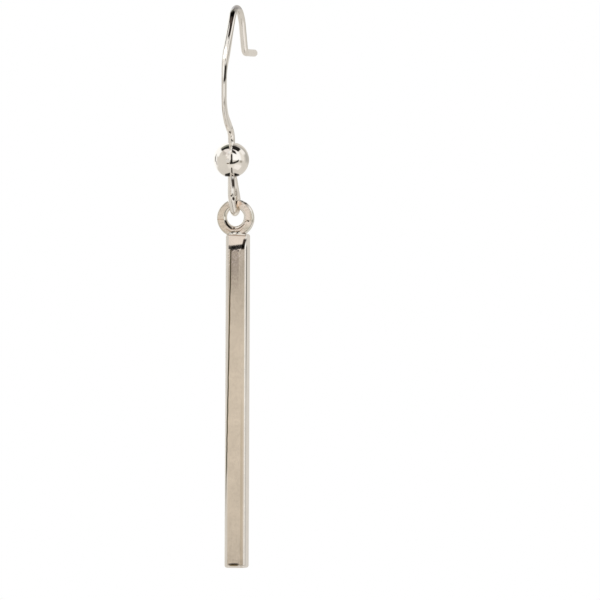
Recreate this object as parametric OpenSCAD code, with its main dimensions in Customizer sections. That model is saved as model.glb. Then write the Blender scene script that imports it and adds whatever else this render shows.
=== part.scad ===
// Bar earring: a French hook with a bead on it, and a square bar that hangs from the hook's loop.
// The hook lies in the plane x = 0. Its front is towards -y, and the bar shows its face to -y.
// The origin is the top of the hook's arch, on the wire's centre line, where the earlobe carries it.

/* [Hook wire] */
// Diameter of the round wire
wire_d = 0.65; // [0.55:0.01:0.7]
// Radius of the arch that goes through the lobe, on the wire's centre line
arch_r = 2.65; // [2.3:0.05:3.2]
// Lean of the wire in front of the arch, in degrees from upright
front_lean = 36; // [30:1:42]
// Lean of the wire behind the arch, in degrees from upright
back_lean = 24; // [16:1:30]
// How far the front of the hook bows ahead of the arch's top
bow = 5.2; // [4.8:0.1:6]
// Radius of the bend at the upper end of the bow
bow_top_r = 3; // [2:0.1:3.2]
// Radius of the bend at the lower end of the bow
bow_low_r = 2.6; // [2:0.1:2.8]
// Lean of the wire between the bow and the bead, in degrees from upright
throat_lean = 60; // [50:1:62]
// Radius of the bend just above the bead
throat_r = 1.3; // [1:0.05:1.4]
// Straight wire between the bead and the bend above it
throat_gap = 0.05; // [0.05:0.05:0.3]
// Depth of the tail below the arch's top
tail_drop = 4; // [3.6:0.1:5]
// Radius of the bend at the tail
tail_r = 0.9; // [0.6:0.05:1]
// Reach of the tail's end behind the arch's top
tail_reach = 7.55; // [6:0.05:9]

/* [Pressed front] */
// Thickness of the pressed wire at its middle, across the hook
press_t = 0.38; // [0.32:0.01:0.45]
// Width of the pressed wire at its middle, in the hook's plane
press_w = 0.92; // [0.7:0.01:1]
// How far the wire is pressed above the bow's upper bend
press_above = 0.55; // [0.2:0.05:1]
// How far the wire is pressed below the bow's lower bend
press_below = 0.9; // [0.3:0.05:1]
// Length of each shoulder, where the round wire turns into the pressed one
shoulder = 0.25; // [0.2:0.05:0.35]

/* [Loop] */
// Depth of the loop's bottom wire below the arch's top
loop_drop = 18.4; // [18:0.1:19.5]
// How far the loop's bottom lies ahead of the arch's top
loop_ahead = 0.4; // [0.3:0.05:0.5]
// Radius of the loop's round bottom, on the wire's centre line
loop_r = 0.9; // [0.85:0.01:0.95]
// Lean of the loop's two straight sides towards the front, in degrees from upright
loop_lean = 40; // [36:1:43]
// Radius of the bend where the loop's front side turns upright
loop_bend_r = 1; // [0.7:0.05:1.2]

/* [Bead] */
// Diameter of the bead
bead_d = 3.2; // [2.8:0.05:3.4]
// Diameter of the hole through the bead
bead_hole_d = 0.9; // [0.8:0.01:1]
// Depth of the bead's centre below the arch's top
bead_drop = 13.65; // [13.4:0.05:13.8]
// How far the bead's centre lies ahead of the arch's top
bead_ahead = 2; // [1.9:0.05:2.2]
// Gap between the bead and the loop's cut end
end_gap = 0.05; // [0.04:0.01:0.1]

/* [Bar] */
// Length of the bar
bar_l = 30.1; // [15:0.1:45]
// Width of each of the bar's four faces
bar_w = 1.95; // [1.6:0.05:2.4]
// Radius of the bar's long edges
edge_r = 0.35; // [0.15:0.01:0.5]
// Radius of the edges round the bar's two ends
end_r = 0.18; // [0.1:0.01:0.3]
// How far the bar's centre line lies to the side of the eye's centre
bar_shift = 0.18; // [0:0.01:0.2]

/* [Eye] */
// Outer diameter of the eye soldered on the bar
eye_d = 3.36; // [3.2:0.02:3.6]
// Diameter of the eye's own wire
eye_wire_d = 0.84; // [0.7:0.01:0.86]
// Running gap between the eye and the loop
eye_gap = 0.03; // [0.02:0.01:0.05]
// How far the eye's centre lies to the side of the loop
eye_shift = 0.1; // [0:0.01:0.12]
// Depth of the eye's solder seat in the bar's end
eye_seat = 0.28; // [0.2:0.01:0.4]

/* [Hidden] */
$fn = 64;

// Points in the hook's plane are [y, z]
Y = 0;
Z = 1;

wire_r = wire_d / 2;
bead_r = bead_d / 2;

// The bends of the wire are flat facets, each of this many degrees
bend_step = 9;
// Sides of the wire's section where it is made of facets
sides = 20;
// The faceted wire is this much fatter than the round one, so that it wraps the ends of the loop
facet_over = 0.002;
bent_r = (wire_r + facet_over) / cos(180 / sides);
// The faceted wire starts this many degrees inside each end of the round loop, in finer facets
loop_lap = 12;
lap_step = 3;

// Section of the pressed front from its lower end to its upper end.
// Columns: share of the height, share of press_t, share of press_w, power of the section's curve
PRESS = [
    [0.00, 1.35, 1.10, 0.75],
    [0.12, 1.15, 1.08, 0.65],
    [0.35, 1.00, 1.00, 0.60],
    [0.70, 1.00, 1.00, 0.60],
    [0.90, 1.15, 1.06, 0.65],
    [1.00, 1.40, 1.10, 0.75]
];
SHARE = 0;
THICK = 1;
WIDE = 2;
POWER = 3;

// Rounding of a cut end. Columns: distance from the end and width, as shares of the wire's radius
TIP = [[0.00, 0.60], [0.12, 0.85], [0.40, 1.00]];

function unit(v) = v / norm(v);
function turned(v, a) = [v[Y] * cos(a) - v[Z] * sin(a), v[Y] * sin(a) + v[Z] * cos(a)];
function limited(x) = min(1, max(0, x));
function column(table, c) = [for (row = table) [row[SHARE], row[c]]];

// Half of the angle between the two straight wires that meet at corner b
function half_angle(a, b, c) = acos(unit(a - b) * unit(c - b)) / 2;

// Points along the bend of radius r at corner b, on the way from a to c. No radius leaves the point
function bend(a, b, c, r) =
    r == 0 ? [b] :
    let (
        u = unit(a - b),
        v = unit(c - b),
        half = half_angle(a, b, c),
        centre = b + unit(u + v) * r / sin(half),
        start = b + u * r / tan(half),
        side = sign(v[Y] * u[Z] - v[Z] * u[Y]),
        steps = ceil((180 - 2 * half) / bend_step)
    )
    [for (i = [0 : steps]) centre + turned(start - centre, side * (180 - 2 * half) * i / steps)];

// Centre line through a list of corners, each one a point and the radius of its bend
function centre_line(corners) =
    let (last = len(corners) - 1)
    [
        corners[0][0],
        for (i = [1 : last - 1])
            each bend(corners[i - 1][0], corners[i][0], corners[i + 1][0], corners[i][1]),
        corners[last][0]
    ];

// Corners that give a cut end its rounding: at point b, on the way from a
function tip_corners(a, b) =
    [for (i = [len(TIP) - 1 : -1 : 0]) [b + unit(a - b) * TIP[i][0] * wire_r, 0]];

// Direction of a centre line at its point i
function along(p, i) = unit(p[min(i + 1, len(p) - 1)] - p[max(i - 1, 0)]);

// The arch is tangent to two leaning straight wires, whose lines meet above it at its apex
arch_half = (front_lean + back_lean) / 2;
apex_turn = (front_lean - back_lean) / 2;
apex = arch_r * [sin(apex_turn), cos(apex_turn)] / sin(arch_half) - [0, arch_r];

// Corners of the main wire, from the loop to the tail
bead_centre = [-bead_ahead, -bead_drop];
bead_rim = sqrt(pow(bead_r, 2) - pow(bead_hole_d / 2, 2));
throat = bead_centre + [0, bead_rim + throat_gap + throat_r * tan(throat_lean / 2)];
bow_low = [-bow, throat[Z] + (bow - bead_ahead) / tan(throat_lean)];
bow_top = [-bow, apex[Z] - (apex[Y] + bow) / tan(front_lean)];
tail_bend = [apex[Y] + (apex[Z] + tail_drop) * tan(back_lean), -tail_drop];
tail_end = [tail_reach, -tail_drop];

// Both ends of the pressed front and of its shoulders, measured from the ends of the bow's bends
low_way = unit(throat - bow_low);
top_way = unit(apex - bow_top);
low_bend_l = bow_low_r * tan(throat_lean / 2);
top_bend_l = bow_top_r * tan(front_lean / 2);
press_low = bow_low + low_way * (low_bend_l + press_below);
round_low = press_low + low_way * shoulder;
press_top = bow_top + top_way * (top_bend_l + press_above);
round_top = press_top + top_way * shoulder;

// The loop's bottom is round from its front side to its back side, angles from straight down
loop_centre = [-loop_ahead, loop_r - loop_drop];
loop_start = loop_lean - 90;
loop_end = loop_lean + 90;
function on_loop(a) = loop_centre + loop_r * [sin(a), -cos(a)];
front_side = on_loop(loop_start);
back_side = on_loop(loop_end);
loop_corner = [-bead_ahead, front_side[Z] + (front_side[Y] + bead_ahead) / tan(loop_lean)];

// The loop's back side ends under the bead, where its cut end just clears the bead
back_way = [-sin(loop_lean), cos(loop_lean)];
to_bead = bead_centre - back_side;
aside = max(0, abs(to_bead * [cos(loop_lean), sin(loop_lean)]) - bent_r);
loop_tip = back_side + back_way * (to_bead * back_way - sqrt(pow(bead_r + end_gap, 2) - pow(aside, 2)));

main_corners = [
    for (a = [loop_start + loop_lap : -lap_step : loop_start]) [on_loop(a), 0],
    [loop_corner, loop_bend_r],
    [throat, throat_r],
    [round_low, 0],
    [press_low, 0],
    [bow_low, bow_low_r],
    [bow_top, bow_top_r],
    [press_top, 0],
    [round_top, 0],
    [apex, arch_r],
    [tail_bend, tail_r],
    each tip_corners(tail_bend, tail_end)
];

back_corners = [
    for (a = [loop_end - loop_lap : lap_step : loop_end]) [on_loop(a), 0],
    each tip_corners(back_side, loop_tip)
];

// How far the wire is pressed at point p of the front of the hook: 0 is round, 1 is pressed
function pressed(p) =
    p[Y] > -bead_ahead - wire_r ? 0 :
    limited((p[Z] - round_low[Z]) / (press_low[Z] - round_low[Z]))
    * limited((round_top[Z] - p[Z]) / (round_top[Z] - press_top[Z]));

// Half sizes of the section across the hook and in its plane, and the power of its curve
function section(p, to_end) =
    let (
        m = pressed(p),
        share = limited((p[Z] - press_low[Z]) / (press_top[Z] - press_low[Z])),
        tip = lookup(to_end / wire_r, TIP),
        t = press_t / 2 * lookup(share, column(PRESS, THICK)),
        w = press_w / 2 * lookup(share, column(PRESS, WIDE)),
        power = lookup(share, column(PRESS, POWER))
    )
    [tip * (bent_r + (t - bent_r) * m), tip * (bent_r + (w - bent_r) * m), 1 + (power - 1) * m];

function curved(x, power) = sign(x) * pow(abs(x), power);

// One ring of points round the centre line p at its point i
function ring(p, i) =
    let (
        way = along(p, i),
        s = section(p[i], norm(p[len(p) - 1] - p[i]))
    )
    [
        for (k = [0 : sides - 1])
            let (
                a = 360 * (k + 0.5) / sides,
                x = s[0] * curved(cos(a), s[2]),
                q = p[i] + s[1] * curved(sin(a), s[2]) * [-way[Z], way[Y]]
            )
            [x, q[Y], q[Z]]
    ];

// Wire bent along the corners
module bent_wire(corners) {
    p = centre_line(corners);
    rings = len(p);
    points = [for (i = [0 : rings - 1]) each ring(p, i)];
    walls = [
        for (i = [0 : rings - 2], k = [0 : sides - 1])
            let (
                a = i * sides + k,
                b = i * sides + (k + 1) % sides
            )
            each [[a, b, b + sides], [a, b + sides, a + sides]]
    ];
    last = (rings - 1) * sides;
    starts = [for (k = [1 : sides - 2]) [0, k + 1, k]];
    ends = [for (k = [1 : sides - 2]) [last, last + k, last + k + 1]];
    polyhedron(points = points, faces = concat(walls, starts, ends), convexity = 6);
}

// Round bottom of the loop
module loop_bottom() {
    translate([0, loop_centre[Y], loop_centre[Z]])
        rotate([90, 0, 90])
            rotate([0, 0, loop_start - 90])
                rotate_extrude(angle = loop_end - loop_start)
                    translate([loop_r, 0]) circle(wire_r);
}

// Hook: tail, arch, pressed front, throat and loop of one wire
module ear_hook() {
    color("gainsboro") {
        union() {
            loop_bottom();
            bent_wire(main_corners);
            bent_wire(back_corners);
        }
    }
}

// Bead that is threaded on the hook above its loop
module ball_bead() {
    color("silver") {
        translate([0, -bead_ahead, -bead_drop]) {
            difference() {
                sphere(bead_r);
                cylinder(h = bead_d + 1, d = bead_hole_d, center = true);
            }
        }
    }
}

// Rectangle with round corners
module round_rectangle(wide, high, r) {
    square([wide - 2 * r, high], center = true);
    square([wide, high - 2 * r], center = true);
    for (x = [-1, 1], y = [-1, 1]) {
        translate([x * (wide / 2 - r), y * (high / 2 - r)]) circle(r);
    }
}

// Square bar with round long edges, and its two ends rounded from either side
module bar() {
    intersection() {
        linear_extrude(height = bar_l, center = true) round_rectangle(bar_w, bar_w, edge_r);
        rotate([90, 0, 0])
            linear_extrude(height = bar_w + 1, center = true) round_rectangle(bar_w, bar_l, end_r);
        rotate([90, 0, 90])
            linear_extrude(height = bar_w + 1, center = true) round_rectangle(bar_w, bar_l, end_r);
    }
}

// Eye that the bar hangs by
module eye() {
    rotate([90, 0, 0])
        rotate_extrude()
            translate([(eye_d - eye_wire_d) / 2, 0]) circle(d = eye_wire_d);
}

eye_z = -loop_drop + wire_r + eye_gap + eye_wire_d - eye_d / 2;
bar_top_z = eye_z - eye_d / 2 + eye_seat;

// Bar and eye, soldered into one piece
module bar_drop() {
    color("silver") {
        union() {
            translate([eye_shift, -loop_ahead, eye_z]) eye();
            translate([eye_shift + bar_shift, -loop_ahead, bar_top_z - bar_l / 2]) bar();
        }
    }
}

ear_hook();
ball_bead();
bar_drop();
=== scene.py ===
"""Looks of the bar earring: a bent wire hook, a drilled bead, and a square bar that hangs by its eye.

Lengths in the tables are millimetres, as in the part's source, and are scaled to metres when a mesh is made.
The hook lies in the plane x = 0, its front towards -y. The origin is the top of the arch.
"""

import math

import bpy
import numpy as np
from mathutils import Matrix, Vector


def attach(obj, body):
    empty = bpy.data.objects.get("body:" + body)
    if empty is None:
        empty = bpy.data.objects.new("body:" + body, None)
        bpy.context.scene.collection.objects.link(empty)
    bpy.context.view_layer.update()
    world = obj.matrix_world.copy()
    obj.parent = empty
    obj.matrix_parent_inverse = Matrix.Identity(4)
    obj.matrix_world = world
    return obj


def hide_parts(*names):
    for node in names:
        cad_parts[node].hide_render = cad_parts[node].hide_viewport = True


MM = 0.001
# Degrees in a radian
DEGREES = math.degrees(1)
# The photo looks from this many degrees to the right of the front
VIEW_AZIMUTH = 12

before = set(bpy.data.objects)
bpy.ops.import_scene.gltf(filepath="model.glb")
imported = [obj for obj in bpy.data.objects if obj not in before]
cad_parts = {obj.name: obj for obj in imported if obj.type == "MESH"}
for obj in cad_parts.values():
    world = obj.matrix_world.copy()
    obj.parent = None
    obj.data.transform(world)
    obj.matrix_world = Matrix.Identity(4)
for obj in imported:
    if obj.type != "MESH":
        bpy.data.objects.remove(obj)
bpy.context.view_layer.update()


# Vectors in the hook's plane are [y, z]
def vec(y, z):
    return np.array([y, z], float)


def unit(v):
    return v / np.linalg.norm(v)


def turned(v, degrees):
    a = math.radians(degrees)
    return vec(v[0] * math.cos(a) - v[1] * math.sin(a), v[0] * math.sin(a) + v[1] * math.cos(a))


def sin_d(a):
    return math.sin(math.radians(a))


def cos_d(a):
    return math.cos(math.radians(a))


def tan_d(a):
    return math.tan(math.radians(a))


def smooth(x):
    x = np.clip(x, 0.0, 1.0)
    return x * x * (3 - 2 * x)


def fade(x, start, length):
    """Smooth rise from 0 to 1 over a length."""
    return float(smooth((x - start) / length))


def taken_off(to_end, r):
    """How far the surface stands back at a distance from an end that is rounded by r."""
    if to_end >= r:
        return 0.0
    return r - math.sqrt(max(0.0, r**2 - (r - to_end) ** 2))


# Sizes of the hook, the bead and the bar, as the solids have them.
# Only TAIL_DROP, PRESS_W and UPPER_SHOULDER differ a little
WIRE_R = 0.325
ARCH_R = 2.65
FRONT_LEAN, BACK_LEAN = 36, 24
BOW, BOW_TOP_R, BOW_LOW_R = 5.2, 3.0, 2.6
THROAT_LEAN, THROAT_R, THROAT_GAP = 60, 1.3, 0.05
TAIL_DROP, TAIL_R, TAIL_REACH = 3.92, 0.9, 7.55
PRESS_T, PRESS_W = 0.38, 0.914
PRESS_ABOVE, PRESS_BELOW, SHOULDER, UPPER_SHOULDER = 0.55, 0.9, 0.25, 3.2
LOOP_DROP, LOOP_AHEAD, LOOP_R, LOOP_LEAN, LOOP_BEND_R = 18.4, 0.4, 0.9, 40, 1.0
BEAD_R, BEAD_HOLE_R, BEAD_DROP, BEAD_AHEAD, END_GAP = 1.6, 0.45, 13.65, 2.0, 0.05
BAR_L, BAR_W = 30.1, 1.95
EYE_R, EYE_WIRE_R, EYE_GAP, EYE_SHIFT, EYE_SEAT = 1.68, 0.42, 0.03, 0.1, 0.28
BAR_SHIFT = 0.18

# Steps along a bend in degrees and along a straight, points round the wire, rounding of its cut ends
BEND_STEP, LINE_STEP = 2.0, 0.06
WIRE_SIDES, WIRE_RIM = 40, 0.07


def bend(a, b, c, r):
    """Points along the bend of radius r at corner b, on the way from a to c."""
    if r == 0:
        return [b]
    u, v = unit(a - b), unit(c - b)
    half = math.acos(float(u @ v)) / 2
    centre = b + unit(u + v) * r / math.sin(half)
    start = b + u * r / math.tan(half)
    side = 1 if v[0] * u[1] - v[1] * u[0] > 0 else -1
    swing = 180 - 2 * math.degrees(half)
    steps = math.ceil(swing / BEND_STEP)
    return [centre + turned(start - centre, side * swing * i / steps) for i in range(steps + 1)]


def centre_line(corners):
    points = [corners[0][0]]
    for i in range(1, len(corners) - 1):
        points += bend(corners[i - 1][0], corners[i][0], corners[i + 1][0], corners[i][1])
    return np.array(points + [corners[-1][0]])


def resampled(points, step):
    """The same line with points at most a step apart."""
    out = [points[0]]
    for a, b in zip(points[:-1], points[1:]):
        n = max(1, math.ceil(np.linalg.norm(b - a) / step))
        out += [a + (b - a) * i / n for i in range(1, n + 1)]
    return np.array(out)


# Corners of the wire, worked out as in the solid
arch_half, apex_turn = (FRONT_LEAN + BACK_LEAN) / 2, (FRONT_LEAN - BACK_LEAN) / 2
apex = ARCH_R * vec(sin_d(apex_turn), cos_d(apex_turn)) / sin_d(arch_half) - vec(0, ARCH_R)
bead_centre = vec(-BEAD_AHEAD, -BEAD_DROP)
bead_rim = math.sqrt(BEAD_R**2 - BEAD_HOLE_R**2)
throat = bead_centre + vec(0, bead_rim + THROAT_GAP + THROAT_R * tan_d(THROAT_LEAN / 2))
bow_low = vec(-BOW, throat[1] + (BOW - BEAD_AHEAD) / tan_d(THROAT_LEAN))
bow_top = vec(-BOW, apex[1] - (apex[0] + BOW) / tan_d(FRONT_LEAN))
tail_bend = vec(apex[0] + (apex[1] + TAIL_DROP) * tan_d(BACK_LEAN), -TAIL_DROP)
tail_end = vec(TAIL_REACH, -TAIL_DROP)
press_low = bow_low + unit(throat - bow_low) * (BOW_LOW_R * tan_d(THROAT_LEAN / 2) + PRESS_BELOW)
round_low = press_low + unit(throat - bow_low) * SHOULDER
press_top = bow_top + unit(apex - bow_top) * (BOW_TOP_R * tan_d(FRONT_LEAN / 2) + PRESS_ABOVE)
round_top = press_top + unit(apex - bow_top) * UPPER_SHOULDER
loop_centre = vec(-LOOP_AHEAD, LOOP_R - LOOP_DROP)


def on_loop(a):
    return loop_centre + LOOP_R * vec(sin_d(a), -cos_d(a))


front_side, back_side = on_loop(LOOP_LEAN - 90), on_loop(LOOP_LEAN + 90)
loop_corner = vec(-BEAD_AHEAD, front_side[1] + (front_side[0] + BEAD_AHEAD) / tan_d(LOOP_LEAN))
back_way = vec(-sin_d(LOOP_LEAN), cos_d(LOOP_LEAN))
to_bead = bead_centre - back_side
# how far the near side of the loop's end, with 2 % to spare, passes beside the bead's middle
aside = max(0.0, abs(float(to_bead @ vec(cos_d(LOOP_LEAN), sin_d(LOOP_LEAN)))) - 1.02 * WIRE_R)
loop_tip = back_side + back_way * (float(to_bead @ back_way) - math.sqrt((BEAD_R + END_GAP) ** 2 - aside**2))

wire_corners = (
    [(loop_tip, 0)]
    + [(on_loop(a), 0) for a in np.arange(LOOP_LEAN + 90, LOOP_LEAN - 90 - 0.5, -BEND_STEP)]
    + [(loop_corner, LOOP_BEND_R), (throat, THROAT_R), (bow_low, BOW_LOW_R), (bow_top, BOW_TOP_R)]
    + [(apex, ARCH_R), (tail_bend, TAIL_R), (tail_end, 0)]
)

# Section of the pressed front, from its lower end to its upper end
PRESS_SHARE = [0.00, 0.12, 0.35, 0.70, 0.90, 1.00]
PRESS_THICK = [1.35, 1.15, 1.00, 1.04, 1.42, 1.62]
PRESS_WIDE = [1.10, 1.08, 1.00, 1.00, 1.06, 1.10]
PRESS_POWER = [0.75, 0.65, 0.60, 0.60, 0.65, 0.75]


def linked(name, data):
    """Object with this data, in the scene."""
    obj = bpy.data.objects.new(name, data)
    bpy.context.collection.objects.link(obj)
    return obj


def new_object(name, verts, faces, sharp=35):
    """Mesh object in metres, smooth apart from edges sharper than an angle."""
    mesh = bpy.data.meshes.new(name)
    mesh.from_pydata((np.asarray(verts) * MM).tolist(), [], [list(map(int, f)) for f in faces])
    mesh.validate()
    mesh.update()
    for p in mesh.polygons:
        p.use_smooth = True
    mesh.set_sharp_from_angle(angle=math.radians(sharp))
    return linked(name, mesh)


def grid_faces(rings, around, closed_rings=False):
    """Quads between rings of points, each ring a closed loop."""
    faces = []
    for i in range(rings if closed_rings else rings - 1):
        j = (i + 1) % rings
        for k in range(around):
            m = (k + 1) % around
            faces.append((i * around + k, i * around + m, j * around + m, j * around + k))
    return faces


def curved(x, power):
    return np.sign(x) * np.abs(x) ** power


def wire_mesh(name):
    """The bent wire, round apart from its pressed front, with rounded cut ends."""
    line = resampled(centre_line(wire_corners), LINE_STEP)
    gone = np.concatenate([[0], np.cumsum(np.linalg.norm(np.diff(line, axis=0), axis=1))])
    total = gone[-1]
    # extra rings round the two cut ends, so that their rims are round
    extra = [WIRE_RIM * (1 - cos_d(a)) for a in range(0, 91, 15)]
    between = [round(s, 5) for s in gone if WIRE_RIM < s < total - WIRE_RIM]
    stations = sorted(set(between + extra + [total - e for e in extra]))
    y = np.interp(stations, gone, line[:, 0])
    z = np.interp(stations, gone, line[:, 1])
    ways = np.gradient(np.column_stack([y, z]), axis=0)
    angles = 2 * np.pi * (np.arange(WIRE_SIDES) + 0.5) / WIRE_SIDES
    verts = []
    for i, s in enumerate(stations):
        way = unit(ways[i])
        # 0 where the wire is round, 1 where it is pressed
        pressed = 0.0
        if y[i] < -BEAD_AHEAD - WIRE_R:
            pressed = float(
                smooth((z[i] - round_low[1]) / (press_low[1] - round_low[1]))
                * smooth((round_top[1] - z[i]) / (round_top[1] - press_top[1]))
            )
        share = (z[i] - press_low[1]) / (press_top[1] - press_low[1])
        t = PRESS_T / 2 * np.interp(share, PRESS_SHARE, PRESS_THICK)
        w = PRESS_W / 2 * np.interp(share, PRESS_SHARE, PRESS_WIDE)
        power = 1 + (np.interp(share, PRESS_SHARE, PRESS_POWER) - 1) * pressed
        less = taken_off(min(s, total - s), WIRE_RIM)
        half_t = WIRE_R + (t - WIRE_R) * pressed - less
        half_w = WIRE_R + (w - WIRE_R) * pressed - less
        x = half_t * curved(np.cos(angles), power)
        q = half_w * curved(np.sin(angles), power)
        verts.append(np.column_stack([x, y[i] - q * way[1], z[i] + q * way[0]]))
    faces = grid_faces(len(stations), WIRE_SIDES)
    last = (len(stations) - 1) * WIRE_SIDES
    faces.append(tuple(range(WIRE_SIDES - 1, -1, -1)))
    faces.append(tuple(last + k for k in range(WIRE_SIDES)))
    return new_object(name, np.concatenate(verts), faces)


def lathe(name, profile, centre, around=128):
    """Closed profile of (radius, z) turned about the upright line through centre."""
    verts, n = [], len(profile)
    for k in range(around):
        a = 2 * math.pi * k / around
        for r, z in profile:
            verts.append((centre[0] + r * math.cos(a), centre[1] + r * math.sin(a), centre[2] + z))
    faces = []
    for k in range(around):
        m = (k + 1) % around
        for i in range(n):
            j = (i + 1) % n
            faces.append((k * n + i, m * n + i, m * n + j, k * n + j))
    return new_object(name, verts, faces)


# Rounding of the bead's rims, and how much smaller its radius is than the solid's
BEAD_RIM, BEAD_LESS = 0.07, 0.005


def bead_mesh(name):
    """Round bead with a hole along z, whose rims are turned in a little."""
    rim, ball = BEAD_RIM, BEAD_R - BEAD_LESS
    # the rim's little arc touches the sphere from inside and the hole's wall
    rim_r = BEAD_HOLE_R + rim
    rim_z = math.sqrt((ball - rim) ** 2 - rim_r**2)
    meet = math.degrees(math.atan2(rim_z, rim_r))
    profile = [(ball * cos_d(a), ball * sin_d(a)) for a in np.linspace(-meet, meet, 97)]
    profile += [(rim_r + rim * cos_d(a), rim_z + rim * sin_d(a)) for a in np.linspace(meet, 180, 9)[1:]]
    profile += [(BEAD_HOLE_R, z) for z in np.linspace(rim_z, -rim_z, 9)[1:-1]]
    profile += [(rim_r + rim * cos_d(a), -rim_z - rim * sin_d(a)) for a in np.linspace(180, meet, 9)[:-1]]
    return lathe(name, profile, (0, -BEAD_AHEAD, -BEAD_DROP))


# Middle of the eye, top and middle of the bar, and its front face
EYE_Z = -LOOP_DROP + WIRE_R + EYE_GAP + 2 * EYE_WIRE_R - EYE_R
BAR_TOP = EYE_Z - EYE_R + EYE_SEAT
BAR_X, BAR_Y = EYE_SHIFT + BAR_SHIFT, -LOOP_AHEAD
FACE_Y = BAR_Y - BAR_W / 2

# The hole of the eye lies a little to the left and above the middle of its outside
HOLE_X, HOLE_UP, HOLE_R = 0.05, 0.09, 0.81
# Roundings of the eye's section: inner edges, outer front edge, outer back edge
EYE_INNER, EYE_FRONT, EYE_BACK = 0.24, 0.13, 0.34


def rounded_section(half_w, half_t, inner_r, outer_r, behind_r, steps=8):
    """Points (across the ring, along y) round a ring's section: inner, outer front and outer back edges differ."""
    pts = []
    for cx, cy, r, start in (
        (half_w - outer_r, -half_t + outer_r, outer_r, -90),
        (half_w - behind_r, half_t - behind_r, behind_r, 0),
        (-half_w + inner_r, half_t - inner_r, inner_r, 90),
        (-half_w + inner_r, -half_t + inner_r, inner_r, 180),
    ):
        for i in range(steps + 1):
            a = start + 90 * i / steps
            pts.append((cx + r * cos_d(a), cy + r * sin_d(a)))
    # points just inside each straight side keep it flat up to its ends
    full, n = [], steps + 1
    for i, (px, py) in enumerate(pts):
        full.append((px, py))
        if i % n == n - 1:
            qx, qy = pts[(i + 1) % len(pts)]
            full += [(px + (qx - px) * t, py + (qy - py) * t) for t in (0.04, 0.96)]
    return full


def eye_mesh(name):
    """Ring of the eye, with a flat front and round edges."""
    around = 180
    verts = []
    off = vec(HOLE_X - EYE_SHIFT, HOLE_UP)
    for i in range(around):
        a = 360 * i / around
        out = vec(cos_d(a), sin_d(a))
        # distance from the hole's centre to the outside, which has its own centre
        along = float(off @ out)
        outer = -along + math.sqrt(along**2 + EYE_R**2 - float(off @ off))
        mid, half_w = (outer + HOLE_R) / 2, (outer - HOLE_R) / 2
        for across, y in rounded_section(half_w, EYE_WIRE_R, EYE_INNER, EYE_FRONT, EYE_BACK):
            r = mid + across
            verts.append((HOLE_X + r * out[0], -LOOP_AHEAD + y, EYE_Z + HOLE_UP + r * out[1]))
    return new_object(name, verts, grid_faces(around, len(verts) // around, closed_rings=True))


# Mound of solder: half its width and depth, its height, how far it lies to the right and how deep it sits
SOLDER_W, SOLDER_D, SOLDER_H, SOLDER_SHIFT, SOLDER_SEAT = 0.84, 0.80, 0.34, 0.04, 0.03


def solder_mesh(name):
    """Low mound of solder between the eye and the end of the bar."""
    rings, around = 14, 48
    verts = []
    for i in range(rings):
        r = 1 - i / (rings - 1)
        h = SOLDER_H * (1 - r**4) ** 0.8
        for k in range(around):
            a = 2 * math.pi * k / around
            # its rim is a little uneven
            wave = 1 + 0.07 * math.sin(3 * a + 0.6) + 0.05 * math.sin(5 * a + 2.0)
            x = SOLDER_W * r * wave * math.cos(a)
            y = SOLDER_D * r * wave * math.sin(a)
            verts.append((EYE_SHIFT + SOLDER_SHIFT + x, -LOOP_AHEAD + y, BAR_TOP - SOLDER_SEAT + h))
    faces = grid_faces(rings, around)
    faces.append(tuple(range(around - 1, -1, -1)))
    return new_object(name, verts, faces)


# The bar's left front edge is rounder than its right one, a crisp small bevel that leaves the face at an angle
LEFT_R, RIGHT_R, BACK_R, END_R = 0.35, 0.165, 0.30, 0.24
RIGHT_FROM = 17
# Points round the bar: face, bevel, right side, back edges, left front edge
FACE_STEPS, BEVEL_STEPS, SIDE_STEPS, BACK_STEPS, LEFT_STEPS = 56, 14, 6, 12, 14
# The bevel stands off this much in x and y, so that it doesn't start on the face's last point
BEVEL_OFF = (0.0003, 0.0001)


def bar_ring():
    """Points (x, y, how much a hollow in the front moves them) round the bar, from the front's left end on."""
    half = BAR_W / 2
    flat_left = -half + LEFT_R
    flat_right = half - RIGHT_R * (1 - sin_d(RIGHT_FROM))
    pts = [(flat_left + (flat_right - flat_left) * i / FACE_STEPS, -half, 1.0) for i in range(FACE_STEPS + 1)]
    for i in range(BEVEL_STEPS + 1):
        a = RIGHT_FROM + (90 - RIGHT_FROM) * i / BEVEL_STEPS
        x = half - RIGHT_R * (1 - sin_d(a)) + BEVEL_OFF[0]
        y = -half + RIGHT_R * (cos_d(RIGHT_FROM) - cos_d(a)) + BEVEL_OFF[1]
        pts.append((x, y, cos_d(a)))
    y0, y1 = -half + RIGHT_R * cos_d(RIGHT_FROM), half - BACK_R
    pts += [(half, y0 + (y1 - y0) * i / SIDE_STEPS, 0.0) for i in range(1, SIDE_STEPS)]
    for cx, cy, r, start, steps in (
        (half - BACK_R, half - BACK_R, BACK_R, 0, BACK_STEPS),
        (-half + BACK_R, half - BACK_R, BACK_R, 90, BACK_STEPS),
        (-half + LEFT_R, -half + LEFT_R, LEFT_R, 180, LEFT_STEPS),
    ):
        for i in range(steps + 1):
            a = start + 90 * i / steps
            pts.append((cx + r * cos_d(a), cy + r * sin_d(a), -sin_d(a) if start == 180 else 0.0))
    # the last point is the first one again
    return pts[:-1]


def soft_noise(seed, nx, nd):
    """Smooth noise between -1 and 1, read at (x, d) in cells."""
    grid = np.random.RandomState(seed).uniform(-1, 1, (nx, nd))

    def read(x, d):
        x, d = x % (nx - 1), d % (nd - 1)
        i, j = int(x), int(d)
        u, v = smooth(x - i), smooth(d - j)
        top = grid[i, j] * (1 - u) + grid[i + 1, j] * u
        low = grid[i, j + 1] * (1 - u) + grid[i + 1, j + 1] * u
        return float(top * (1 - v) + low * v)

    return read


# Unevenness of the bar's front
MOTTLE_SEED = 11
mottle = soft_noise(MOTTLE_SEED, 40, 80)

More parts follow.
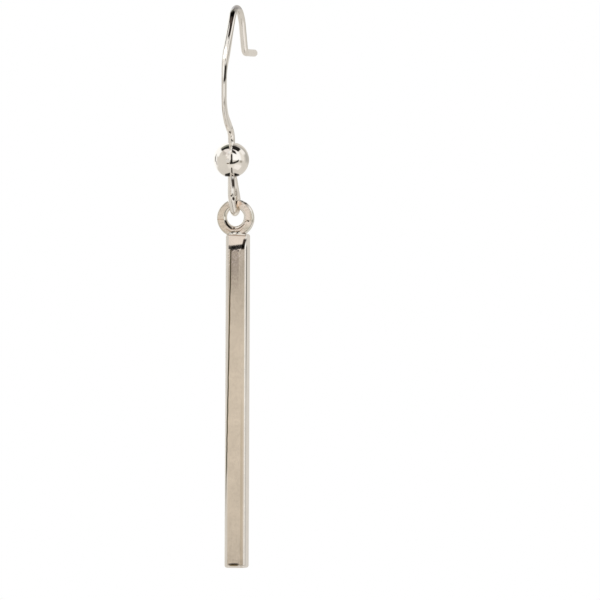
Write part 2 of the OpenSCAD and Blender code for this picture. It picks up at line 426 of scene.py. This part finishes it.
# Slope of the front face where it falls back, near the bar's top and in the hollow at its foot: distance from the
# end, slope
TOP_SLOPES = [(0.00, 0.135), (0.90, 0.135), (1.02, 0.085), (1.44, 0.036), (1.50, 0.0)]
LOW_SLOPES = [(0.00, 0.20), (0.10, 0.17), (0.17, 0.060), (0.38, 0.030), (0.46, 0.0)]
# The fall at the top slants and waves
TOP_SLANT, TOP_WAVE = 0.10, 0.035
# The hollow at the foot: its middle, where it fades out at the sides and over what width, how far its edge bows
# and half the width of the bow
FOOT_X, FOOT_HALF, FOOT_SOFT, FOOT_BOW, FOOT_BOW_HALF = -0.04, 0.34, 0.22, 0.08, 0.6
# Depth of the hammered spots under the top, and how much of a hollow the rounded ends take away
SPOT_DEPTH, END_FADE = 0.004, 0.6
# Rings along the bar: their steps near the ends and between, and how far from the top and the foot they are close
CLOSE_STEP, FAR_STEP, CLOSE_TOP, CLOSE_FOOT = 0.04, 0.3, 4.0, 1.0


def fallen(slopes):
    """Depth by distance from an end, as a table."""
    ds = np.linspace(0, slopes[-1][0], 61)
    grade = np.interp(ds, *zip(*slopes))
    falls = np.concatenate([[0], np.cumsum((grade[1:] + grade[:-1]) / 2 * np.diff(ds))])
    return ds, falls[-1] - falls


top_fall, low_fall = fallen(TOP_SLOPES), fallen(LOW_SLOPES)


def front_depth(x, d):
    """Depth of the front face below the bar's flat side, at x from its middle and d from its top."""
    slant = TOP_SLANT * x + TOP_WAVE * mottle(5 + x * 3, 2.5)
    depth = float(np.interp(d + slant, *top_fall))
    off = abs(x - FOOT_X)
    bow = FOOT_BOW * min(1, off / FOOT_BOW_HALF) ** 2
    depth += float(np.interp(BAR_L - d + bow, *low_fall)) * (1 - fade(off, FOOT_HALF, FOOT_SOFT))
    # hammered spots, on the left and the middle of the face
    spots = fade(d, 1.4, 0.15) * (1 - fade(d, 1.9, 1.8)) * (1 - fade(x, 0.25, 0.3))
    return depth + SPOT_DEPTH * spots * mottle(20 + x * 8, d * 8)


def bar_mesh(name):
    """The square bar, with its own rounding at each edge and a front that falls back at both ends."""
    half = BAR_W / 2
    rim = np.array([END_R * (1 - sin_d(a)) for a in np.linspace(0, 90, 10)])
    foot = BAR_L - CLOSE_FOOT
    parts = (
        rim,
        np.arange(END_R, CLOSE_TOP, CLOSE_STEP),
        np.arange(CLOSE_TOP, foot, FAR_STEP),
        np.arange(foot, BAR_L - END_R, CLOSE_STEP),
        BAR_L - rim,
    )
    down = np.unique(np.round(np.concatenate(parts), 5))
    ring = bar_ring()
    verts = []
    for d in down:
        less = taken_off(min(d, BAR_L - d), END_R)
        shrink = 1 - less / half
        left = 1 - less / END_R * END_FADE
        for x, y, sunk in ring:
            deep = front_depth(x, d) * sunk * left if sunk else 0
            verts.append((BAR_X + x * shrink, BAR_Y + y * shrink + deep, BAR_TOP - d))
    around = len(ring)
    faces = [tuple(reversed(f)) for f in grid_faces(len(down), around)]
    faces.append(tuple(range(around)))
    last = (len(down) - 1) * around
    faces.append(tuple(last + k for k in range(around - 1, -1, -1)))
    return new_object(name, verts, faces)


# Materials. The colour sockets of a Mix node go by number, because others share their names
MIX_A, MIX_B, MIX_OUT = 6, 7, 2


def empty_tree(owner):
    """Node tree of a material or a world, emptied. Numbers made from now on belong to it."""
    owner.use_nodes = True
    Num.tree = owner.node_tree
    Num.tree.nodes.clear()
    return Num.tree


def node(tree, kind, **values):
    """New node, with values for its inputs by name, or else for its own settings."""
    n = tree.nodes.new(kind)
    for key, value in values.items():
        if key in n.inputs:
            n.inputs[key].default_value = value
        else:
            setattr(n, key, value)
    return n


class Num:
    """A number in a shader tree, so that masks can be written as sums and products.

    The edges of a mask are soft: it goes from 0 to 1 over the width called soft.
    """

    tree = None

    def __init__(self, socket):
        self.socket = socket

    @classmethod
    def of(cls, op, *values, clamp=False):
        n = cls.tree.nodes.new("ShaderNodeMath")
        n.operation, n.use_clamp = op, clamp
        for i, v in enumerate(values):
            if isinstance(v, Num):
                cls.tree.links.new(v.socket, n.inputs[i])
            else:
                n.inputs[i].default_value = float(v)
        return cls(n.outputs[0])

    def __add__(self, o):
        return Num.of("ADD", self, o)

    def __sub__(self, o):
        return Num.of("SUBTRACT", self, o)

    def __mul__(self, o):
        return Num.of("MULTIPLY", self, o)

    @classmethod
    def angle(cls, op, *values):
        """Result of an inverse function, in degrees."""
        return cls.of(op, *values) * DEGREES

    def above(self, edge, soft):
        return Num.of("MULTIPLY_ADD", self, 1 / soft, 0.5 - edge / soft, clamp=True)

    def below(self, edge, soft):
        return Num.of("MULTIPLY_ADD", self, -1 / soft, 0.5 + edge / soft, clamp=True)

    def within(self, low, high, soft):
        return self.above(low, soft) * self.below(high, soft)

    def near(self, centre, half, soft):
        return Num.of("ABSOLUTE", self - centre).below(half, soft)

    def square(self):
        return self * self


def oval(u, v, centre, weights):
    """Squared distance of (u, v) from a centre, with a weight for each of the two."""
    return (u - centre[0]).square() * weights[0] + (v - centre[1]).square() * weights[1]


def dot(tree, vector_socket, axis):
    """Share of a vector along an axis."""
    n = node(tree, "ShaderNodeVectorMath", operation="DOT_PRODUCT")
    tree.links.new(vector_socket, n.inputs[0])
    n.inputs[1].default_value = axis
    return Num(n.outputs["Value"])


def layered(tree, base, patches):
    """A colour with patches on it, each a mask and a colour. Later ones lie on earlier ones."""
    start = node(tree, "ShaderNodeRGB")
    start.outputs[0].default_value = (*base, 1)
    colour = start.outputs[0]
    for mask, tint in patches:
        mix = node(tree, "ShaderNodeMix", data_type="RGBA")
        tree.links.new(mask.socket, mix.inputs["Factor"])
        tree.links.new(colour, mix.inputs[MIX_A])
        mix.inputs[MIX_B].default_value = (*tint, 1)
        colour = mix.outputs[MIX_OUT]
    return colour


# Scales of the soft unevenness and of the specks, depths of the scratches and of the unevenness in metres
SOFT_SCALE, SPECK_SCALE = 900.0, 3600.0
SCRATCH_DEPTH, SOFT_DEPTH = 0.00001, 0.00005


def metal(name, tint, rough, scratch, scratch_scale, bump, marks):
    """Polished metal with uneven shine, fine scratches, a slight unevenness of its surface, and dark marks, some of
    them painted shade and painted reflections.
    """
    m = bpy.data.materials.new(name)
    t = empty_tree(m)
    out = node(t, "ShaderNodeOutputMaterial")
    shade = node(t, "ShaderNodeBsdfPrincipled", Metallic=1.0)
    t.links.new(shade.outputs["BSDF"], out.inputs["Surface"])
    where = node(t, "ShaderNodeTexCoord").outputs["Object"]
    soft = node(t, "ShaderNodeTexNoise", Scale=SOFT_SCALE, Detail=3.0)
    t.links.new(where, soft.inputs["Vector"])

    # the metal's own colour, in places a little duller
    tone = node(t, "ShaderNodeValToRGB")
    dull, clear = tone.color_ramp.elements
    dull.position, dull.color = 0.35, (*(c * 0.93 for c in tint), 1)
    clear.position, clear.color = 0.7, (*tint, 1)
    t.links.new(soft.outputs["Fac"], tone.inputs["Fac"])

    # marks, real ones and painted shade and reflections, by the place in millimetres and two noises between -1 and 1
    x, y, z = (dot(t, where, axis) * (1 / MM) for axis in ((1, 0, 0), (0, 1, 0), (0, 0, 1)))
    wobble = (Num(soft.outputs["Fac"]) - 0.5) * 2
    specks = node(t, "ShaderNodeTexNoise", Scale=SPECK_SCALE, Detail=2.0)
    t.links.new(where, specks.inputs["Vector"])
    grain = (Num(specks.outputs["Fac"]) - 0.5) * 2
    # real marks and painted shade and reflections, multiplied onto the metal's own colour
    stains_and_painted_shade = node(t, "ShaderNodeMix", data_type="RGBA", blend_type="MULTIPLY")
    stains_and_painted_shade.inputs["Factor"].default_value = 1.0
    t.links.new(tone.outputs["Color"], stains_and_painted_shade.inputs[MIX_A])
    t.links.new(layered(t, (1, 1, 1), marks(x, y, z, wobble, grain)), stains_and_painted_shade.inputs[MIX_B])
    t.links.new(stains_and_painted_shade.outputs[MIX_OUT], shade.inputs["Base Color"])

    # fine lines, in the shine and in the surface
    stretch = node(t, "ShaderNodeMapping", Scale=scratch_scale)
    t.links.new(where, stretch.inputs["Vector"])
    lines = node(t, "ShaderNodeTexNoise", Scale=1.0, Detail=6.0, Roughness=0.7)
    t.links.new(stretch.outputs["Vector"], lines.inputs["Vector"])
    shine = node(t, "ShaderNodeMapRange")
    shine.inputs["From Min"].default_value, shine.inputs["From Max"].default_value = 0.3, 0.75
    shine.inputs["To Min"].default_value, shine.inputs["To Max"].default_value = rough * 0.7, rough * 1.6
    t.links.new(lines.outputs["Fac"], shine.inputs["Value"])
    t.links.new(shine.outputs["Result"], shade.inputs["Roughness"])
    fine = node(t, "ShaderNodeBump", Strength=scratch, Distance=SCRATCH_DEPTH)
    t.links.new(lines.outputs["Fac"], fine.inputs["Height"])
    uneven = node(t, "ShaderNodeBump", Strength=bump, Distance=SOFT_DEPTH)
    t.links.new(soft.outputs["Fac"], uneven.inputs["Height"])
    t.links.new(fine.outputs["Normal"], uneven.inputs["Normal"])
    t.links.new(uneven.outputs["Normal"], shade.inputs["Normal"])
    return m


# Marks of the metals, real ones and painted shade and reflections: lists of a mask and a colour that the metal's own
# is multiplied with. Places are millimetres
def bar_marks(x, y, z, wobble, grain):
    """Dull and dark parts of the bar: its mottled face and pits, painted dark reflections along its left, in its
    hollows, under the eye and down its right side, and the seam under the eye.
    """
    front = y.below(FACE_Y + 0.12, 0.06)
    across = x - BAR_X
    left_reflection_line = x + z * -0.0169 + wobble * 0.05
    foot = across + 0.04
    upright = x - (z + 20.946) * 0.225 + wobble * 0.02
    side = y.within(-1.40, -0.93, 0.06)
    seam = z + x * 0.03 + wobble * 0.10
    on_face = [
        # mottled under the top, less so further down
        (grain.above(0.02, 0.22) * across.within(-0.46, 0.30, 0.12) * z.within(-23.4, -21.6, 0.5), (0.70, 0.68, 0.69)),
        (grain.above(0.06, 0.30) * across.within(-0.46, 0.30, 0.12) * z.within(-25.6, -23.0, 1.2), (0.86, 0.83, 0.85)),
        (grain.above(0.05, 0.35) * across.within(-0.50, 0.72, 0.12) * z.below(-25.0, 1.0), (0.95, 0.945, 0.95)),
        # duller just under the hollow, with two dark pits
        (across.within(-0.40, 0.27, 0.12) * z.above(-23.9, 1.6) * z.below(-21.68, 0.3), (0.75, 0.73, 0.74)),
        (oval(x, z, (-0.04, -21.80), (40, 180)).below(0.9, 0.5), (0.22, 0.21, 0.19)),
        (oval(x, z, (0.53, -21.84), (130, 180)).below(0.9, 0.5), (0.22, 0.21, 0.21)),
        # duller right side of the face, further down
        (across.within(0.52, 0.74, 0.08) * z.below(-36.0, 5.0), (0.86, 0.84, 0.80)),
        # painted dark reflection in a line along the left of the face, wandering to the left further down
        (left_reflection_line.near(BAR_X - 0.054, 0.058, 0.06) * z.above(-43.5, 5.0) * z.below(-21.5, 0.3), (0.12, 0.105, 0.06)),
        # painted dark reflections in the hollow under the top, and in the small curved one at the foot
        ((z - across * 0.17).near(-21.55, 0.17, 0.08) * across.within(-0.42, 0.62, 0.06), (0.40, 0.40, 0.42)),
        (oval(foot, z + foot.square() * 0.25, (0, -50.13), (4.5, 90)).below(0.8, 0.5), (0.30, 0.25, 0.16)),
    ]
    return [(mask * front, colour) for mask, colour in on_face] + [
        # painted dark reflection upright at the right, under the eye
        (
            upright.near(1.0915, 0.135, 0.06) * z.within(-21.72, -20.76, 0.14) * y.below(FACE_Y + 0.3, 0.06),
            (0.06, 0.05, 0.045),
        ),
        # start of the right side: a little duller lower down, and a painted dark reflection further up
        (side * across.above(0.965, 0.015) * z.below(-24.0, 6.0), (0.84, 0.83, 0.85)),
        (side * across.above(0.962, 0.015) * z.above(-31.0, 9.0) * z.below(-21.4, 0.3), (0.06, 0.05, 0.04)),
        # seam of solder across the top, and a pit in it
        (seam.near(BAR_TOP - 0.17, 0.045, 0.05) * x.within(-0.45, 1.2, 0.1), (0.45, 0.33, 0.25)),
        (oval(x, z, (0.90, BAR_TOP + 0.03), (6, 30)).below(0.25, 0.25) * front, (0.12, 0.08, 0.06)),
    ]


def bead_marks(x, y, z, wobble, grain):
    """Marks of the bead: a duller upper left, painted dark reflections in two crescents under it beside the wire, and
    painted dark reflections in thin lines at both sides.
    """
    # from the bead's middle to the right, away and up, for a look from the photo's side
    across = x * cos_d(VIEW_AZIMUTH) + (y + BEAD_AHEAD) * sin_d(VIEW_AZIMUTH)
    away = (y + BEAD_AHEAD) * cos_d(VIEW_AZIMUTH) - x * sin_d(VIEW_AZIMUTH)
    rise = z + BEAD_DROP
    front = away.below(0.0, 0.1)
    crescent = (rise + Num.of("ABSOLUTE", across - 0.05) * 0.28 + wobble * 0.04).within(-1.46, -1.11, 0.04)
    sides = across.within(-0.57, -0.11, 0.06) + across.within(0.27, 0.72, 0.06)
    return [
        # duller at the upper left
        (across.within(-0.78, -0.16, 0.12) * rise.within(0.42, 1.02, 0.15) * front, (0.82, 0.80, 0.80)),
        # painted dark reflections in two crescents under the bead, beside the wire
        (crescent * sides * front, (0.006, 0.004, 0.003)),
        # painted dark reflections in thin lines at both sides
        (across.above(1.53, 0.04) * rise.within(-0.7, 0.8, 0.3) * away.below(0.3, 0.1), (0.62, 0.60, 0.57)),
        (across.near(-1.44, 0.035, 0.05) * rise.within(-0.18, 0.28, 0.1) * front, (0.25, 0.24, 0.23)),
    ]


def wire_marks(x, y, z, wobble, grain):
    """Marks of the wire: painted dark reflections on the crown, down its front and in the loop, and painted shade
    along the left edge of the bow and where the loop's end passes the eye.
    """
    dark = (0.05, 0.04, 0.035)
    slope = tan_d(FRONT_LEAN)
    on_top = (y - z * slope).below(-BOW - bow_top[1] * slope, 0.06)
    left = x + Num.of("MAXIMUM", z + 1.75, 0.0) * 0.15 + wobble * 0.03
    right = x + wobble * 0.02 - (z + 1.0) * 0.045
    low = z + 6.20
    return [
        # painted dark reflection on the crown of the arch, darkest along its top
        (z.above(-0.30, 0.5), (0.80, 0.80, 0.80)),
        (z.above(0.05, 0.25), (0.60, 0.60, 0.65)),
        (z.within(-0.05, 0.18, 0.10), (0.48, 0.48, 0.52)),
        # painted dark reflections in a streak down the leaning front, and in one at the start of the bow
        (left.above(0.0, 0.03) * right.below(0.21, 0.03) * z.within(-2.7, -0.25, 0.35) * on_top, dark),
        (
            (x - low * 0.085 + low.square() * 0.05).near(0.140, 0.075, 0.03)
            * low.within(-0.50, 1.10, 0.35)
            * y.below(-BOW, 0.06),
            (0.035, 0.03, 0.025),
        ),
        # painted dark reflections in the loop
        (
            (x + (z + 15.6) * 0.06).near(0.20, 0.10, 0.05)
            * z.within(-16.15, -15.30, 0.3)
            * y.below(-BEAD_AHEAD + 0.1, 0.1),
            dark,
        ),
        (oval(x, z, (0.22, -17.15), (80, 22)).below(0.6, 0.4) * y.below(-1.8, 0.1), dark),
        # painted shade along the left edge above the bow, and along the bow's
        (x.below(-0.14, 0.16) * z.within(-5.9, -3.6, 0.6) * y.below(-3.9, 0.2), (0.64, 0.63, 0.62)),
        (x.below(-0.07, 0.08) * z.within(-9.6, -6.0, 0.8) * y.below(-4.0, 0.2), (0.59, 0.55, 0.51)),
        # painted brown shade where the loop's end passes the eye
        (z.within(-18.3, -17.2, 0.3) * x.above(0.12, 0.1) * y.within(-1.2, 0.2, 0.3), (0.72, 0.60, 0.48)),
    ]


def eye_marks(x, y, z, wobble, grain):
    """Marks of the soldered eye: pits, saw cuts and seams of solder, painted shade inside the hole at the lower left
    and where the loop passes, and duller and dark parts.
    """
    # from the hole's middle to the right and up, and the same as a distance and a turn
    dx, dz = x - HOLE_X, z - (EYE_Z + HOLE_UP)
    far = Num.of("SQRT", dx.square() + dz.square())
    turn = Num.angle("ARCTAN2", dz, dx)
    front = y.below(-LOOP_AHEAD - 0.1, 0.1)
    return [
        # the left half is a little duller
        (dx.below(-0.5, 0.8), (0.86, 0.85, 0.80)),
        # painted black line of shade inside at the lower left, and a pit by its end
        ((far - dx * 0.265).near(1.13, 0.10, 0.05) * turn.within(-163, -101, 8) * front, (0.02, 0.015, 0.012)),
        (oval(dx, dz, (-0.045, -0.98), (1, 1)).below(0.010, 0.010), (0.06, 0.05, 0.04)),
        # saw cut at the left
        ((dz + wobble * 0.05).near(-0.20, 0.022, 0.04) * dx.within(-1.60, -0.98, 0.1), (0.55, 0.42, 0.33)),
        # notches at the right
        ((dz + dx * 0.25).near(0.02, 0.02, 0.04) * dx.within(1.08, 1.50, 0.08) * front, (0.4, 0.33, 0.24)),
        ((dx - 1.28).square().below(0.006, 0.008) * (dz + 0.36).near(0.0, 0.06, 0.06) * front, (0.03, 0.03, 0.02)),
        ((dz - dx * 0.6).near(-1.02, 0.03, 0.05) * dx.within(0.95, 1.25, 0.06) * front, (0.3, 0.26, 0.18)),
        # uneven flow of solder along the lower rim of the hole
        ((far + wobble * 0.14).near(0.93, 0.025, 0.05) * turn.within(-112, -40, 10) * front, (0.42, 0.34, 0.27)),
        ((far + wobble * 0.22).near(1.13, 0.03, 0.06) * turn.within(-110, -35, 10) * front, (0.35, 0.25, 0.18)),
        ((far - wobble * 0.2).near(1.32, 0.03, 0.06) * turn.within(-125, -50, 10) * front, (0.55, 0.43, 0.33)),
        (oval(x, z, (0.93, -20.25), (20, 60)).below(0.35, 0.3), (0.15, 0.10, 0.08)),
        # painted brown shade where the loop passes, and a duller rim at the right
        (oval(dx, dz, (0.32, 1.22), (4, 8)).below(0.5, 0.4) * front, (0.91, 0.79, 0.70)),
        (far.above(1.42, 0.06) * turn.within(-15, 19, 6) * front, (0.82, 0.83, 0.79)),
        (far.above(1.25, 0.10) * turn.within(-52, -30, 8) * front, (0.87, 0.90, 0.87)),
        # dark outer edge at the upper right
        (far.above(1.535, 0.05) * (turn.within(62, 70, 4) + turn.within(47, 55, 4)), (0.05, 0.04, 0.03)),
    ]


silver = metal("silver_wire", (0.93, 0.90, 0.86), 0.09, 0.15, (6000, 6000, 600), 0.12, wire_marks)
silver_bead = metal("silver_bead", (0.94, 0.91, 0.87), 0.06, 0.08, (5000, 5000, 5000), 0.05, bead_marks)
silver_bar = metal("silver_bar", (0.92, 0.89, 0.85), 0.10, 0.25, (9000, 9000, 500), 0.10, bar_marks)
silver_eye = metal("silver_eye", (0.93, 0.90, 0.86), 0.07, 0.20, (4000, 4000, 4000), 0.14, eye_marks)


def dress(obj, material, body, slot, *nodes):
    """Gives a piece its material and its body, and hides the solids it replaces; its slot is not used."""
    obj.data.materials.append(material)
    if nodes:
        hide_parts(*nodes)
    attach(obj, body)


dress(wire_mesh("hook_wire"), silver, "ear_wire", "wire", "ear_hook")
dress(bead_mesh("round_bead"), silver_bead, "ear_wire", "bead", "ball_bead")
dress(bar_mesh("square_bar"), silver_bar, "drop", "bar", "bar_drop")
dress(eye_mesh("bar_eye"), silver_eye, "drop", "bar")
dress(solder_mesh("eye_solder"), silver_eye, "drop", "bar")


# Studio: a light tent all round, seen by the metal alone, and a white floor and background.
# Directions of the photo's view: towards the viewer, and to the right
to_viewer = Vector((sin_d(VIEW_AZIMUTH), -cos_d(VIEW_AZIMUTH), 0))
view_right = Vector((cos_d(VIEW_AZIMUTH), sin_d(VIEW_AZIMUTH), 0))


def world_light():
    """The light tent, as patches of the world's colour, and plain white for the camera."""
    world = bpy.data.worlds.new("studio")
    bpy.context.scene.world = world
    t = empty_tree(world)
    out = node(t, "ShaderNodeOutputWorld")
    where = node(t, "ShaderNodeTexCoord").outputs["Generated"]
    # parts of a direction: to the right, towards the front of the tent, and up
    r, f, u = dot(t, where, view_right), dot(t, where, to_viewer), dot(t, where, (0, 0, 1))
    # the same in degrees: turned to the right from the front, and lifted
    turn = Num.angle("ARCTAN2", r, f)
    lift = Num.angle("ARCSINE", u)

    warm, white, black = (0.71, 0.675, 0.62), (1.08, 1.08, 1.06), (0.03, 0.026, 0.022)
    # each patch of the tent: mask, colour. Later ones lie on earlier ones
    patches = [
        # white wall behind at the left, paler grey behind at the right
        (f.below(-0.35, 0.3) * r.below(-0.05, 0.2) * u.above(-0.35, 0.2), white),
        (turn.within(-132, -92, 8) * lift.within(14, 44, 6), white),
        (turn.within(105, 145, 12) * lift.within(-8, 60, 10), (0.50, 0.48, 0.44)),
        # dim roof behind
        (r.within(-0.34, 0.34, 0.12) * f.within(-0.54, -0.30, 0.12) * u.above(0.35, 0.15), (0.33, 0.31, 0.29)),
        # bright window at the right, and a pale table under it
        (turn.within(10, 72, 6) * lift.within(-2, 50, 6), white),
        (turn.within(66, 92, 8) * lift.within(-4, 50, 8), (0.90, 0.86, 0.80)),
        (turn.within(-30, 75, 15) * lift.within(-60, -22, 12), (0.85, 0.81, 0.75)),
        (turn.within(-22, -8, 5) * lift.within(-4, 42, 6), (0.95, 0.92, 0.88)),
        (turn.within(-42, -8, 6) * lift.within(23, 64, 6), (1.04, 1.00, 0.95)),
        (turn.within(84, 122, 8) * lift.within(22, 62, 8), (1.0, 0.97, 0.93)),
        # bright strip before the gap in the roof
        (f.within(-0.05, 0.62, 0.06) * r.within(-0.62, 0.75, 0.06) * u.above(0.72, 0.06), (1.08, 1.05, 1.0)),
        # black gap in the roof, from the left over the top to the right
        (
            f.above(-0.44, 0.06) * (f - r * 0.45).below(0.30, 0.06) * r.within(-0.72, 0.0, 0.06) * u.above(0.66, 0.08),
            (0.02, 0.021, 0.018),
        ),
        (f.within(-0.55, -0.27, 0.10) * r.within(-0.60, -0.08, 0.08) * u.above(0.60, 0.08), (0.28, 0.29, 0.24)),
        (f.within(-0.30, 0.31, 0.06) * r.within(-0.02, 0.66, 0.06) * u.above(0.73, 0.05), (0.02, 0.017, 0.015)),
        # foot of the slit in front, a duller patch beside it, and its slanted arm
        ((lift - turn * 0.06 - turn.square() * 0.0064).within(-29, -16, 4) * turn.within(-12, 50, 5), black),
        (turn.within(58, 76, 6) * lift.within(-15, -3, 4), (0.40, 0.37, 0.32)),
        ((turn * 0.45 + lift).within(52, 76, 3) * turn.within(4, 40, 6), black),
        # thin gap under the part, and the bright table at the right
        (r.within(-0.02, 0.10, 0.03) * u.within(-1.1, -0.78, 0.04) * f.above(-0.1, 0.1), (0.06, 0.05, 0.04)),
        (turn.within(25, 84, 10) * lift.within(-58, -30, 6), (0.97, 0.93, 0.89)),
        # thin dark edge at the far left
        (turn.within(-126, -110, 4) * lift.within(-18, -4, 4), (0.60, 0.57, 0.55)),
        (turn.within(-134, -124, 3) * lift.within(-2, 16, 4), (0.35, 0.34, 0.32)),
    ]
    tent = node(t, "ShaderNodeBackground")
    t.links.new(layered(t, warm, patches), tent.inputs["Color"])
    plain = node(t, "ShaderNodeBackground", Color=(1, 1, 1, 1), Strength=1.0)
    seen = node(t, "ShaderNodeLightPath")
    both = node(t, "ShaderNodeMixShader")
    t.links.new(seen.outputs["Is Camera Ray"], both.inputs["Fac"])
    t.links.new(tent.outputs["Background"], both.inputs[1])
    t.links.new(plain.outputs["Background"], both.inputs[2])
    t.links.new(both.outputs["Shader"], out.inputs["Surface"])


def glow_material(obj, name):
    """Gives an object a glowing material. Returns the node tree and the glow."""
    m = bpy.data.materials.new(name)
    t = empty_tree(m)
    glow = node(t, "ShaderNodeEmission", Strength=1.0)
    t.links.new(glow.outputs["Emission"], node(t, "ShaderNodeOutputMaterial").inputs["Surface"])
    obj.data.materials.append(m)
    return t, glow


# Tint of the silver that mirrors the cards
CARD_TINT = (0.89, 0.86, 0.82)


def linear(rgb):
    """Light that the silver shows as an 8-bit colour, with full alpha."""
    return (*(((c / 255 + 0.055) / 1.055) ** 2.4 / k for c, k in zip(rgb, CARD_TINT)), 1)


# Tan card in front of the bar at the left, which the bar's face mirrors: a little paler in the middle, darker towards
# the bar's top, with gaps under the foot and above the top that stay dark. Rows: height in mm, colour
TAN = (205, 190, 170)
PALE_TAN, MID_TAN, DARK_TAN = ([share * c for c in TAN] for share in (1.03, 0.92, 0.76))
LIGHT, GAP = (230, 215, 200), (15, 15, 15)
CARD = [
    (-68.0, PALE_TAN),
    (-62.0, PALE_TAN),
    (-61.0, GAP),
    (-53.5, GAP),
    (-52.5, TAN),
    (-42.0, TAN),
    (-37.0, PALE_TAN),
    (-29.0, TAN),
    (-25.0, MID_TAN),
    (-23.0, DARK_TAN),
    (-21.0, DARK_TAN),
    (-20.6, LIGHT),
    (-16.2, LIGHT),
    (-15.0, GAP),
    (-4.0, GAP),
    (-3.0, LIGHT),
    (12.0, LIGHT),
]
# Piece of the tent's own colour, close in front of the bead, that hides the card from the bead
BEAD_SHIELD = [(-16.0, (212, 206, 197)), (-13.1, (212, 206, 197))]
# The same in front of the hook: paler grey for its bow, white for its leaning front
HOOK_SHIELD = [
    (-12.5, (238, 231, 221)),
    (-8.0, (230, 223, 213)),
    (-6.6, (220, 214, 204)),
    (-5.9, (246, 243, 236)),
    (-1.5, (250, 248, 243)),
]
# Colour of the slit that the camera looks through, as the bead sees it
SLIT = (34, 31, 26)


def strip(name, azimuth, start, far, half, rows):
    """A glowing strip that only mirrors show, upright and far from a start point (x, y) in a direction."""
    low, high = rows[0][0], rows[-1][0]
    out = vec(sin_d(azimuth), -cos_d(azimuth))
    side = vec(-out[1], out[0])
    middle = vec(*start) + out * far
    corners = [(middle + side * s * half, z) for s, z in ((-1, low), (1, low), (1, high), (-1, high))]
    obj = new_object(name, [(*xy, z) for xy, z in corners], [(0, 1, 2, 3)])
    t, glow = glow_material(obj, name + "_glow")
    where = node(t, "ShaderNodeTexCoord").outputs["Object"]
    height = dot(t, where, (0, 0, 1 / ((high - low) * MM))) - low / (high - low)
    ramp = node(t, "ShaderNodeValToRGB")
    stops = ramp.color_ramp.elements
    stops[0].position, stops[0].color = 0.0, linear(rows[0][1])
    stops[1].position, stops[1].color = 1.0, linear(rows[-1][1])
    for z, rgb in rows[1:-1]:
        stops.new((z - low) / (high - low)).color = linear(rgb)
    t.links.new(height.socket, ramp.inputs["Fac"])
    t.links.new(ramp.outputs["Color"], glow.inputs["Color"])
    obj.visible_camera = False
    obj.visible_diffuse = False
    obj.visible_shadow = False


# Foremost lines of the bead and of the bow
BEAD_FRONT, BOW_FRONT = -BEAD_AHEAD - BEAD_R, -BOW - WIRE_R
strip("bounce_card", -VIEW_AZIMUTH, (BAR_X, FACE_Y), 100, 16, CARD)
strip("bead_shield", -VIEW_AZIMUTH, (0, BEAD_FRONT), 6, 1.25, BEAD_SHIELD)
strip("hook_shield", -VIEW_AZIMUTH, (0, BOW_FRONT), 6, 1.2, HOOK_SHIELD)
strip("slit_bead", VIEW_AZIMUTH, (0.50, BEAD_FRONT + 0.06), 4, 0.42, [(-15.6, SLIT), (-10.0, SLIT)])
strip("slit_foot", 12.5, (0.33, BEAD_FRONT + 0.03), 4.1, 0.62, [(-15.65, SLIT), (-13.9, SLIT)])
world_light()


def lamp(name, centre, width, height, facing, radiance, colour):
    """A small soft lamp, facing a direction, that the metal mirrors as an evenly bright rectangle."""
    data = bpy.data.lights.new(name, "AREA")
    data.shape, data.size, data.size_y = "RECTANGLE", width * MM, height * MM
    data.energy = 4 * radiance * data.size * data.size_y
    data.color = colour
    obj = linked(name, data)
    back = -Vector(facing).normalized()
    across = Vector((0, 0, 1)).cross(back).normalized()
    obj.matrix_world = Matrix((across, back.cross(across), back)).transposed().to_4x4()
    obj.matrix_world.translation = Vector(centre) * MM
    obj.visible_camera = False


# Lamp over the hook's leaning front, along it
leg = vec(-sin_d(FRONT_LEAN), -cos_d(FRONT_LEAN))
lamp("front_lamp", (0, -4.22, -1.25), 2.6, 5.55, (0, -leg[1], leg[0]), 0.72, (1.0, 0.98, 0.95))

# Half the floor's width, and its height
FLOOR_HALF, FLOOR_Z = 1500, -80
floor_corners = [(x * FLOOR_HALF, y * FLOOR_HALF, FLOOR_Z) for x, y in ((-1, -1), (1, -1), (1, 1), (-1, 1))]
floor = new_object("floor", floor_corners, [(0, 1, 2, 3)])
glow_material(floor, "white_floor")[1].inputs["Color"].default_value = (1, 1, 1, 1)
floor.visible_glossy = False
floor.visible_diffuse = False

# Camera: the photo's size, scale, turn and roll, from far away. The arch's top is at ORIGIN_PX in the photo
PHOTO_PX, PX_PER_MM, ORIGIN_PX = 600, 11.1, (236.74, 8.5)
ROLL = 0.25
LENS, SENSOR = 1200.0, 36.0
camera_data = bpy.data.cameras.new("camera")
camera_data.lens, camera_data.sensor_width = LENS, SENSOR
camera_data.clip_start, camera_data.clip_end = 0.01, 10
camera = linked("camera", camera_data)
bpy.context.scene.camera = camera
up = Vector((0, 0, 1))
cam_right = view_right * cos_d(ROLL) + up * sin_d(ROLL)
cam_up = up * cos_d(ROLL) - view_right * sin_d(ROLL)
px_right, px_down = (PHOTO_PX / 2 - px for px in ORIGIN_PX)
aim = cam_right * (px_right / PX_PER_MM * MM) - cam_up * (px_down / PX_PER_MM * MM)
distance = LENS / SENSOR * PHOTO_PX / PX_PER_MM * MM
place = Matrix((cam_right, cam_up, to_viewer)).transposed().to_4x4()
place.translation = aim + to_viewer * distance
camera.matrix_world = place

scene = bpy.context.scene
scene.view_settings.view_transform = "Standard"
scene.view_settings.look = "None"
scene.view_settings.exposure = 0
scene.view_settings.gamma = 1
